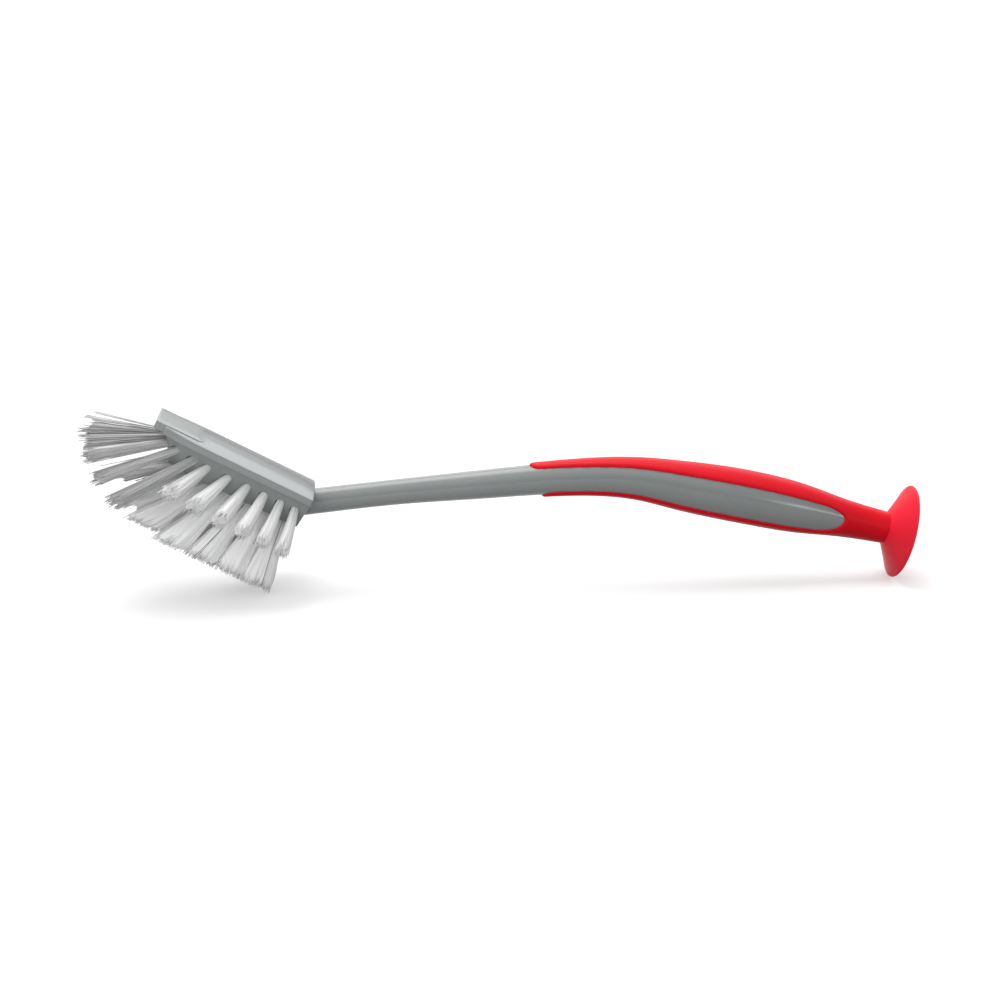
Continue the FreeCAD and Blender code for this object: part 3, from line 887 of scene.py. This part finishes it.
class GripSkin:
    """The rows, seams and height of the soft grip over the core."""

    def __init__(self, settings):
        self.layout = Layout(settings)
        self.grip = settings.grip
        self.run = settings.handle.run
        upper_nose = self.run - self.grip.length
        self.noses = {True: upper_nose, False: upper_nose + self.grip.low_setback}
        self.middles = {True: math.pi / 2, False: -math.pi / 2}
        self.panel_tip = self.run - self.grip.sleeve
        self.closing = self.panel_tip - self.grip.panel_end

    def draw(self, mesh):
        """Adds both stripes and the sleeve to a mesh."""
        shared_rows = self.shared_rows()
        seams = self.unrolled_seams()
        for upper in (True, False):
            rows = self.nose_rows(upper, shared_rows[0]) + shared_rows
            for side in (1, -1):
                self.stripe(mesh, rows, upper, side, seams)

    def nose_places(self, upper, count):
        """Places along a stripe's nose, close together at its tip."""
        turns = [math.radians(angle) for angle in steps(0, 90, count)]
        return [self.noses[upper] + self.grip.nose * (1 - math.cos(angle)) for angle in turns]

    def closing_places(self, first, count):
        """Places along the closing end of the bare panel, close together at its tip."""
        turns = [math.radians(angle) for angle in steps(first, 90, count)]
        return [self.closing + self.grip.panel_end * math.sin(angle) for angle in turns]

    def shared_rows(self):
        """Rows that both stripes have, from behind the noses to the cup."""
        rows = steps(self.noses[False] + self.grip.nose + NOSE_GAP, self.closing, count=56)
        rows += self.closing_places(first=6, count=14)
        rows += [self.panel_tip + step for step in SLEEVE_ROWS]
        rows += steps(self.panel_tip + ROW_GAP, self.run, count=8)
        return rows

    def nose_rows(self, upper, shared_start):
        """Rows of one stripe's nose."""
        rows = self.nose_places(upper, count=12)
        if shared_start - rows[-1] > ROW_GAP:
            rows += steps(rows[-1], shared_start, count=3)[1:-1]
        return rows

    def seam(self, along, upper):
        """The seam's angle above the near side."""
        grip = self.grip
        start = self.noses[True]
        part = min(max((along - start) / (self.closing - start), 0), 1)
        rise = (grip.upper_start - grip.upper_end) * (1 - part) ** SEAM_POWER
        bare = grip.upper_end + rise if upper else -grip.lower_seam
        if along > self.closing:
            end = min((along - self.closing) / grip.panel_end, 1)
            return grip.tip_turn + (bare - grip.tip_turn) * math.sqrt(1 - end * end)
        middle = self.middles[upper]
        opened = min(max((along - self.noses[upper]) / grip.nose, 0), 1)
        return middle + (bare - middle) * math.sqrt(1 - (1 - opened) ** 2)

    def unrolled_seams(self):
        """Points along both seams, as lengths along and round the handle."""
        points = []
        for upper in (True, False):
            places = self.nose_places(upper, count=60)
            places += steps(places[-1], self.closing, count=160)
            places += self.closing_places(first=0, count=90)
            points += [(along, self.seam(along, upper)) for along in places]
        return numpy.array(points)

    def lift(self, along, angle, seams):
        """Height of the skin above the core: rounded up from the seam."""
        radius = self.layout.radius(along)
        gaps = numpy.hypot(seams[:, 0] - along, (seams[:, 1] - angle) * radius)
        part = min(gaps.min() / self.grip.edge, 1)
        return self.grip.proud * math.sqrt(1 - (1 - part) ** 2)

    def stripe(self, mesh, rows, upper, side, seams):
        """One half of a stripe: its rounded outer skin, its bed on the core and its edges."""
        middle = self.middles[upper]
        outer, inner = [], []
        for along in rows:
            seam = self.seam(along, upper)
            above, below = [], []
            for part in STRIPE_COLUMNS:
                angle = seam + (middle - seam) * part
                turned = angle if side > 0 else math.pi - angle
                lift = self.lift(along, angle, seams)
                above.append(mesh.verts.new(self.layout.on_handle(along, turned, lift)))
                below.append(mesh.verts.new(self.layout.on_handle(along, turned, -self.grip.bed)))
            outer.append(above)
            inner.append(below)
        for i in range(len(rows) - 1):
            for j in range(len(STRIPE_COLUMNS) - 1):
                mesh.faces.new((outer[i][j], outer[i + 1][j], outer[i + 1][j + 1], outer[i][j + 1]))
                mesh.faces.new((inner[i][j], inner[i][j + 1], inner[i + 1][j + 1], inner[i + 1][j]))
            if rows[i] < self.panel_tip - MERGE_DISTANCE:
                mesh.faces.new((outer[i][0], inner[i][0], inner[i + 1][0], outer[i + 1][0]))
        for j in range(len(STRIPE_COLUMNS) - 1):
            mesh.faces.new((outer[-1][j], inner[-1][j], inner[-1][j + 1], outer[-1][j + 1]))


class MouldGrip(BrushOperator, Operator):
    """Moulds the soft grip: two stripes with rounded edges that join in a sleeve"""

    bl_idname = "dish_brush.mould_grip"
    bl_label = "Mould soft grip"

    def build(self, settings):
        mesh = bmesh.new()
        GripSkin(settings).draw(mesh)
        finishes = settings.finishes
        constants = {"Specular IOR Level": 0.1}
        material = moulded_material(
            "grip_red", finishes.grip, roughness=0.44, grain_depth=0.00003, constants=constants
        )
        piece = new_piece("soft_grip_skin", mesh, material)
        hand_over(piece, "soft_grip")


class MouldCup(BrushOperator, Operator):
    """Moulds the suction cup as a turned shape on the handle's end"""

    bl_idname = "dish_brush.mould_cup"
    bl_label = "Mould suction cup"

    def build(self, settings):
        cup = settings.cup
        layout = Layout(settings)
        axis = layout.cup_axis
        upright = Vector((-axis.z, 0, axis.x))
        mesh = bmesh.new()
        rings = []
        for radius, depth in self.profile(cup):
            centre = layout.rim_centre - axis * depth
            ring = []
            for angle in circle(CUP_SIDES):
                outward = math.cos(angle) * NEAR_SIDE + math.sin(angle) * upright
                ring.append(centre + outward * radius)
            rings.append(ring)
        skin_rings(mesh, rings)
        finishes = settings.finishes
        constants = {"Specular IOR Level": 0.12}
        # The cup's red is the grip's red painted lighter and pinker, for the light and highlight on the cup.
        material = moulded_material(
            "cup_red", finishes.cup, roughness=0.36, grain_depth=0.00002, constants=constants
        )
        piece = new_piece("suction_cup_moulding", mesh, material)
        hand_over(piece, "suction_cup")

    def profile(self, cup):
        """Radius and depth behind the rim's plane, from the hub's back round the rim to the middle."""
        hub = cup.hub / 2
        rim = cup.diameter / 2
        thin = cup.rim / 2
        back = cup.depth
        seat = (hub - CUP_SEAT, back + CUP_SEAT)
        bevel = (hub - CUP_BEVEL, back + CUP_BEVEL_DEPTH)
        points = [seat, bevel, (hub, back)]
        outer = rim - thin * RIM_TANGENT
        for part in steps(0.05, 1, count=14):
            hollow = cup.bulge * 4 * part * (1 - part)
            points.append((hub + (outer - hub) * part, back + (cup.rim - back) * part - hollow))
        for angle in steps(60, -90, count=8):
            turned = math.radians(angle)
            points.append((rim - thin + thin * math.cos(turned), thin + thin * math.sin(turned)))
        floor = back - cup.hub_thickness
        for part in steps(0, 1, count=12):
            radius = (rim - thin - CUP_LIP) * (1 - part) + CUP_MIDDLE * part
            points.append((radius, CUP_STEP + floor * math.sin(part * math.pi / 2)))
        return points


def tuft_nodes():
    """The names of the CAD nodes that are tufts, in order."""
    return sorted(name for name in frame["nodes"] if "_tuft_" in name)


class Tuft:
    """The place, axis and rings of a tuft, read from its CAD node."""

    def __init__(self, node, bristles):
        mesh = bmesh.new()
        mesh.from_mesh(frame["nodes"][node].data)
        bmesh.ops.remove_doubles(mesh, verts=mesh.verts, dist=MERGE_DISTANCE)
        straight = bristles.hole_depth + bristles.collar
        sides = [edge for edge in mesh.edges if abs(edge.calc_length() - straight) < SIDE_TOLERANCE]
        if len(sides) < 3:
            raise RuntimeError("no straight sides were found on " + node)
        points = [vertex.co.copy() for vertex in mesh.verts]
        whole = sum(points, Vector()) / len(points)
        middles = [(edge.verts[0].co + edge.verts[1].co) / 2 for edge in sides]
        middle = sum(middles, Vector()) / len(middles)
        axis = (sides[0].verts[1].co - sides[0].verts[0].co).normalized()
        self.axis = axis if (whole - middle).dot(axis) > 0 else -axis
        self.collar = middle + self.axis * straight / 2
        self.mouth = self.collar - self.axis * bristles.collar
        first = sides[0].verts[0].co - middle
        self.east = (first - self.axis * first.dot(self.axis)).normalized()
        self.north = self.axis.cross(self.east)
        self.radius = (first - self.axis * first.dot(self.axis)).length
        beyond = [point for point in points if (point - self.collar).dot(self.axis) > PAST_COLLAR]
        self.crown = min(beyond, key=self.off_axis)
        ring = [point for point in beyond if point is not self.crown]
        self.ring = sorted((self.bearing(point), point) for point in ring)
        mesh.free()

    def off_axis(self, point):
        """A point's distance from the tuft's axis."""
        arm = point - self.collar
        return (arm - self.axis * arm.dot(self.axis)).length

    def bearing(self, point):
        """A point's angle round the axis."""
        arm = point - self.collar
        return math.atan2(arm.dot(self.north), arm.dot(self.east)) % FULL_TURN

    def spoke(self, angle):
        """A unit arm away from the axis."""
        return math.cos(angle) * self.east + math.sin(angle) * self.north

    def end(self, angle, part):
        """A point of the trimmed end, between its crown and its ring."""
        angle %= FULL_TURN
        after = next((i for i, row in enumerate(self.ring) if row[0] > angle), 0)
        low, low_point = self.ring[after - 1]
        high, high_point = self.ring[after]
        gap = (high - low) % FULL_TURN
        rim = low_point.lerp(high_point, ((angle - low) % FULL_TURN) / gap)
        return self.crown.lerp(rim, part)


class TuftMesh:
    """A mesh of tubes that carry a tone and their place along the tuft."""

    def __init__(self):
        self.points, self.faces, self.tones, self.alongs = [], [], [], []

    def tube(self, rings, tones):
        """Adds a closed tube through rings of points, with a tone for each point of a ring."""
        sides = len(tones)
        start = len(self.points)
        for i, ring in enumerate(rings):
            self.points += ring
            self.tones += tones
            self.alongs += [i / (len(rings) - 1)] * sides
        for i in range(len(rings) - 1):
            here = start + i * sides
            for k in range(sides):
                after = (k + 1) % sides
                self.faces.append((here + k, here + after, here + sides + after, here + sides + k))
        last = start + (len(rings) - 1) * sides
        self.faces.append([start + k for k in reversed(range(sides))])
        self.faces.append([last + k for k in range(sides)])

    def piece(self, name, material):
        """The mesh as an object of the scene."""
        data = bpy.data.meshes.new(name)
        data.from_pydata(self.points, [], self.faces)
        for key, values in (("tone", self.tones), ("along", self.alongs)):
            layer = data.attributes.new(key, "FLOAT", "POINT")
            layer.data.foreach_set("value", values)
        data.materials.append(material)
        piece = bpy.data.objects.new(name, data)
        bpy.context.scene.collection.objects.link(piece)
        return piece


class DrawBristles(BrushOperator, Operator):
    """Draws the nylon filaments of every tuft, each tuft as its own piece"""

    bl_idname = "dish_brush.draw_bristles"
    bl_label = "Draw bristles"

    def build(self, settings):
        bristles = settings.bristles
        material = nylon_material("bristle_white", settings.finishes.nylon)
        for index, node in enumerate(tuft_nodes()):
            chance = random.Random(bristles.seed * SEED_STEP + index)
            piece = self.tuft_piece(node, settings, chance, material)
            hand_over(piece, node)

    def style(self, tuft, node, bristles):
        """Shapes a tuft by the row that it stands in."""
        tuft.count = bristles.tip_count
        tuft.spread = bristles.tip_spread
        tuft.clump = bristles.tip_clump
        tuft.heart = bristles.tip_heart
        # The tip and shoulder tufts get a darker tone, a painted shade.
        tuft.tone = bristles.tip_painted_shade_tone
        tuft.reach = 1
        tuft.stretch = 1
        tuft.drift = 0
        tuft.raised = 0
        if node == SPLAYED_TUFT:
            tuft.spread = bristles.splayed_spread
            tuft.reach = bristles.splayed_reach
            tuft.heart = SPLAYED_HEART
            tuft.clump = SPLAYED_CLUMP
        if node == NEAR_TIP_TUFT:
            tuft.reach = bristles.tip_reach
        if node.startswith("left_shoulder"):
            tuft.reach = bristles.shoulder_reach
        if node.startswith("right_shoulder"):
            tuft.spread = bristles.tip_spread * FAR_SHOULDER_SPREAD
            tuft.reach = FAR_SHOULDER_REACH
        if "_side_" in node:
            self.style_flank(tuft, bristles, max(MIDDLE_ROW - int(node[-1]), 0))
        if "_inner_" in node:
            self.style_inner(tuft, bristles, max(int(node[-1]) - MIDDLE_ROW, 0), node.startswith("right"))

    def style_flank(self, tuft, bristles, early):
        """Shapes a tuft of the flanks, slimmer by each row before the middle one."""
        tuft.count = bristles.flank_count
        tuft.clump = bristles.flank_clump
        tuft.spread = bristles.flank_spread - FLANK_NARROWING * early
        tuft.drift = bristles.flank_drift * early
        tuft.heart = bristles.heart
        # The flank tufts get a darker tone, a painted shade.
        tuft.tone = bristles.flank_painted_shade_tone
        tuft.reach = bristles.flank_reach

    def style_inner(self, tuft, bristles, past, far):
        """Shapes a long tuft under the keel, slimmer, higher and darker by each row past the middle one; the
        darkening is painted shade.
        """
        tuft.count = bristles.inner_count
        tuft.clump = bristles.inner_clump
        tuft.spread = bristles.inner_spread - INNER_NARROWING * past
        tuft.heart = bristles.heart
        tuft.tone = 1 - INNER_PAINTED_SHADE * past
        tuft.raised = bristles.raised * past
        if past < 2:
            tuft.stretch = bristles.inner_stretch
            tuft.drift = bristles.far_drift if far else bristles.near_drift
        if far:
            tuft.reach = 1 - FAR_SHORTENING * past
            tuft.raised = tuft.raised / 2 if past < 3 else 0

    def tuft_piece(self, node, settings, chance, material):
        """One tuft in its hole: loose filaments round a packed heart."""
        bristles = settings.bristles
        tuft = Tuft(node, bristles)
        self.style(tuft, node, bristles)
        layout = Layout(settings)
        tuft.ahead = layout.ahead
        tuft.brushed = layout.ahead * tuft.drift + layout.up * tuft.raised
        shape = TuftMesh()
        self.add_heart(tuft, bristles, chance, shape)
        strands = [self.strand(chance) for _ in range(STRANDS)]
        for i in range(tuft.count):
            part = math.sqrt((i + 0.5) / tuft.count)
            angle = i * GOLDEN_ANGLE + chance.uniform(-TURN_JITTER, TURN_JITTER)
            path = self.filament_path(tuft, bristles, chance, part, angle, strands)
            self.add_filament(tuft, bristles, chance, path, shape)
        piece = shape.piece("bristles_" + node, material)
        shade(piece)
        return piece

    def add_heart(self, tuft, bristles, chance, shape):
        """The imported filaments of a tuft: a fluted sheath whose columns end unevenly."""
        columns = bristles.columns
        sizes = [tuft.heart * chance.uniform(*COLUMN_WIDTHS) for _ in range(columns)]
        lengths = [1 - COLUMN_SHORTENING * chance.random() ** 2 for _ in range(columns)]
        # The tuft's tone, which carries its painted shade, sets the tones of the heart's columns.
        tones = [tuft.tone * chance.uniform(*COLUMN_TONES) for _ in range(columns)]
        rings = []
        for place, size in HEART_STATIONS:
            ring = []
            for k in range(columns):
                angle = FULL_TURN * k / columns
                part = sizes[k] * size
                root, bend, end = self.bones(tuft, bristles, angle, part, part * tuft.spread)
                ring.append(self.bent(root, bend, end, place * (1 + (lengths[k] - 1) * size)))
            rings.append(ring)
        shape.tube(rings, tones)

    def bones(self, tuft, bristles, angle, part, end_part):
        """A filament's root, the point that it bends towards, and its end."""
        width = tuft.radius * part * bristles.gather
        spoke = tuft.spoke(angle) * width - tuft.ahead * bristles.root_lean
        root = tuft.mouth - tuft.axis * bristles.shown_root + spoke
        end = self.brushed_end(tuft, angle, end_part, root)
        bend = (tuft.collar + spoke).lerp(end, BEND_PLACE)
        return root, bend, end

    def brushed_end(self, tuft, angle, part, root):
        """A point of a tuft's end, as the CAD tuft has it and then brushed out of place."""
        end = tuft.end(angle, part)
        end += tuft.ahead * (end - tuft.crown).dot(tuft.ahead) * (tuft.stretch - 1)
        return root.lerp(end, tuft.reach) + tuft.brushed

    def bent(self, root, bend, end, place):
        """A point of a filament at a part of its length."""
        left = 1 - place
        return root * left * left + bend * 2 * left * place + end * place * place

    def strand(self, chance):
        """The middle of a strand, as an angle and a part of the tuft's radius."""
        return chance.uniform(0, FULL_TURN), math.sqrt(chance.uniform(*STRAND_RANGE))

    def filament_path(self, tuft, bristles, chance, part, angle, strands):
        """Points from a filament's root to its cut end."""
        end_part = part * tuft.spread * chance.uniform(*SPREAD_JITTER)
        root, bend, end = self.bones(tuft, bristles, angle, part, end_part)
        ends = [self.brushed_end(tuft, bearing, out * tuft.spread, root) for bearing, out in strands]
        nearest = min(ends, key=lambda other: (other - end).length)
        end = end.lerp(nearest, tuft.clump * chance.uniform(*CLUMP_RANGE))
        length = (end - root).length
        reach = length - bristles.ragged * chance.random() ** 2
        if chance.random() < bristles.strays:
            end += tuft.spoke(chance.uniform(0, FULL_TURN)) * length * chance.uniform(*STRAY_SWING)
            reach *= chance.uniform(*STRAY_REACH)
        bow = tuft.spoke(chance.uniform(0, FULL_TURN)) * length * bristles.bow * chance.gauss(0, 1)
        path = []
        for place in steps(0, reach / length, FILAMENT_STEPS):
            path.append(self.bent(root, bend, end, place) + bow * math.sin(math.pi * place) * place)
        low = min(point.z for point in path)
        if low < bristles.diameter:
            raised = bristles.diameter - low
            lifts = [raised * (i / FILAMENT_STEPS) ** 2 for i in range(len(path))]
            path = [point + Vector((0, 0, lift)) for point, lift in zip(path, lifts)]
        return path

    def add_filament(self, tuft, bristles, chance, path, shape):
        """A slim tube along a path."""
        tone = 1 - FILAMENT_FADE * chance.random() ** 2
        # A few filaments are made dark, painted shade for the gaps between filaments.
        if chance.random() < PAINTED_SHADE_FILAMENT_SHARE:
            tone = PAINTED_SHADE_FILAMENT_TONE * chance.random()
        spin = chance.uniform(0, math.pi)
        spokes = [tuft.spoke(spin + angle) for angle in circle(FILAMENT_SIDES)]
        rings = []
        for i, point in enumerate(path):
            radius = bristles.diameter / 2 * (1 - FILAMENT_TAPER * i / (len(path) - 1))
            rings.append([point + spoke * radius for spoke in spokes])
        # The tuft's tone carries its painted shade into each filament.
        shape.tube(rings, [tuft.tone * tone] * FILAMENT_SIDES)


class FinishStaples(BrushOperator, Operator):
    """Gives the CAD staples their steel"""

    bl_idname = "dish_brush.finish_staples"
    bl_label = "Finish staples"

    def build(self, settings):
        data = frame["nodes"]["tuft_staples"].data
        data.materials.clear()
        data.materials.append(steel_material("staple_steel", settings.finishes.steel))


class SetStage(BrushOperator, Operator):
    """Sets up the floor, the camera and the lights"""

    bl_idname = "dish_brush.set_stage"
    bl_label = "Set stage"

    def build(self, settings):
        stage = settings.stage
        head = settings.head
        layout = Layout(settings)
        bpy.context.scene.view_settings.view_transform = "Standard"
        self.floor(settings.finishes.floor)
        self.world(stage)
        target = layout.heel + Vector((stage.target_ahead, 0, -stage.target_drop))
        self.camera(stage, target)
        key = self.lamp("key_light", "SUN", stage.key, KEY_PLACE, target)
        key.data.angle = KEY_ANGLE
        self.softbox("side_light", stage.side, SIDE_BOX, target)
        head_middle = layout.on_head(head.length / 2, 0, -head.keel_depth)
        low = self.softbox("low_light", stage.low, LOW_BOX, head_middle)
        low.visible_glossy = False
        self.softbox("strip_light", stage.strip, STRIP_BOX, target)
        self.softbox("back_light", stage.back, BACK_BOX, target)

    def camera(self, stage, target):
        """The camera of the photograph."""
        back = Vector((
            math.sin(stage.azimuth) * math.cos(stage.elevation),
            -math.cos(stage.azimuth) * math.cos(stage.elevation),
            math.sin(stage.elevation),
        ))
        camera = bpy.data.objects.new("camera", bpy.data.cameras.new("camera"))
        camera.data.lens = stage.lens
        camera.data.sensor_width = SENSOR_WIDTH
        camera.data.clip_start = CLIP_START
        camera.location = target + back * stage.range
        camera.rotation_mode = "QUATERNION"
        camera.rotation_quaternion = (-back).to_track_quat("-Z", "Y")
        bpy.context.scene.collection.objects.link(camera)
        bpy.context.scene.camera = camera

    def softbox(self, name, watts, box, target):
        """A rectangular softbox that points at the target."""
        place, width, height = box
        lamp = self.lamp(name, "AREA", watts, place, target)
        lamp.data.shape = "RECTANGLE"
        lamp.data.size = width
        lamp.data.size_y = height
        return lamp

    def lamp(self, name, kind, strength, place, target):
        """A lamp that points at the target."""
        light = bpy.data.lights.new(name, kind)
        light.energy = strength
        lamp = bpy.data.objects.new(name, light)
        lamp.location = target + place
        lamp.visible_camera = False
        lamp.rotation_mode = "QUATERNION"
        lamp.rotation_quaternion = (-place).to_track_quat("-Z", "Y")
        bpy.context.scene.collection.objects.link(lamp)
        return lamp

    def floor(self, tint):
        """A pale floor that is darker to bounced light than to the camera."""
        mesh = bmesh.new()
        signs = ((-1, -1), (1, -1), (1, 1), (-1, 1))
        mesh.faces.new([mesh.verts.new((x * FLOOR_HALF, y * FLOOR_HALF, 0)) for x, y in signs])
        material, surface = new_surface("floor_pale")
        paths = ("Is Camera Ray", "Is Glossy Ray", "Is Transmission Ray")
        seen = [surface.add("ShaderNodeLightPath", {}, {}, path) for path in paths]
        shown = seen[0] + seen[1] + seen[2]
        clouds = surface.noise(surface.place(), scale=3, detail=2)
        shader = surface.add(
            "ShaderNodeBsdfPrincipled",
            {},
            {
                "Base Color": surface.mix_colour(shown, shaded(tint, FLOOR_BOUNCE), tint),
                "Roughness": 0.8 + 0.1 * clouds,
                "Specular IOR Level": 0,
                "Emission Color": surface.mix_colour(shown, (0, 0, 0, 1), (1, 1, 1, 1)),
                "Emission Strength": FLOOR_GLOW,
            },
        )
        surface.add("ShaderNodeOutputMaterial", {}, {"Surface": shader})
        new_piece("floor", mesh, material, smooth=False)

    def world(self, stage):
        """A soft sky that is bright above and dim at the horizon."""
        world = bpy.data.worlds.new("studio")
        world.use_nodes = True
        bpy.context.scene.world = world
        surface = Surface(world.node_tree)
        way = surface.add("ShaderNodeTexCoord", {}, {}, "Generated")
        height = surface.add("ShaderNodeSeparateXYZ", {}, {0: way}, "Z")
        low, high = SKY_HEIGHTS
        rise = surface.add(
            "ShaderNodeMapRange", {"interpolation_type": "SMOOTHSTEP"}, {0: height, 1: low, 2: high}
        )
        strength = stage.fill + stage.sky * rise
        sky = surface.add("ShaderNodeBackground", {}, {"Color": (1, 1, 1, 1), "Strength": strength})
        surface.add("ShaderNodeOutputWorld", {}, {"Surface": sky})


def body_material(settings):
    """The body's grey, made once for the head and the handle."""
    made = bpy.data.materials.get("body_grey_moulded")
    if made:
        return made
    tint = settings.finishes.body
    return moulded_material(
        "body_grey_moulded", tint, roughness=0.24, grain_depth=0.00002, constants={"IOR": 1.49}
    )


OPERATORS = (MouldHead, MouldHandle, MouldGrip, MouldCup, DrawBristles, FinishStaples, SetStage)
GROUPS = (HeadSizes, HandleSizes, GripSizes, CupSizes, BristleSizes, Finishes, StageSizes, BrushSettings)


class BrushPanel(Panel):
    """The brush's operators and settings in the sidebar"""

    bl_idname = "VIEW3D_PT_dish_brush"
    bl_label = "Dish Brush"
    bl_space_type = "VIEW_3D"
    bl_region_type = "UI"
    bl_category = "Dish Brush"

    def draw(self, context):
        settings = context.scene.dish_brush
        for operator in OPERATORS:
            self.layout.operator(operator.bl_idname)
        for name in ("head", "handle", "grip", "cup", "bristles", "finishes", "stage"):
            box = self.layout.box()
            box.label(text=name.title())
            group = getattr(settings, name)
            for key in group.bl_rna.properties.keys():
                if key not in ("rna_type", "name"):
                    box.prop(group, key)


def register():
    for item in (*GROUPS, *OPERATORS, BrushPanel):
        bpy.utils.register_class(item)
    bpy.types.Scene.dish_brush = PointerProperty(type=BrushSettings)


def unregister():
    del bpy.types.Scene.dish_brush
    for item in reversed((*GROUPS, *OPERATORS, BrushPanel)):
        bpy.utils.unregister_class(item)


def main():
    register()
    bpy.ops.dish_brush.mould_head()
    bpy.ops.dish_brush.mould_handle()
    bpy.ops.dish_brush.mould_grip()
    bpy.ops.dish_brush.mould_cup()
    bpy.ops.dish_brush.draw_bristles()
    bpy.ops.dish_brush.finish_staples()
    bpy.ops.dish_brush.set_stage()


if __name__ == "__main__":
    main()
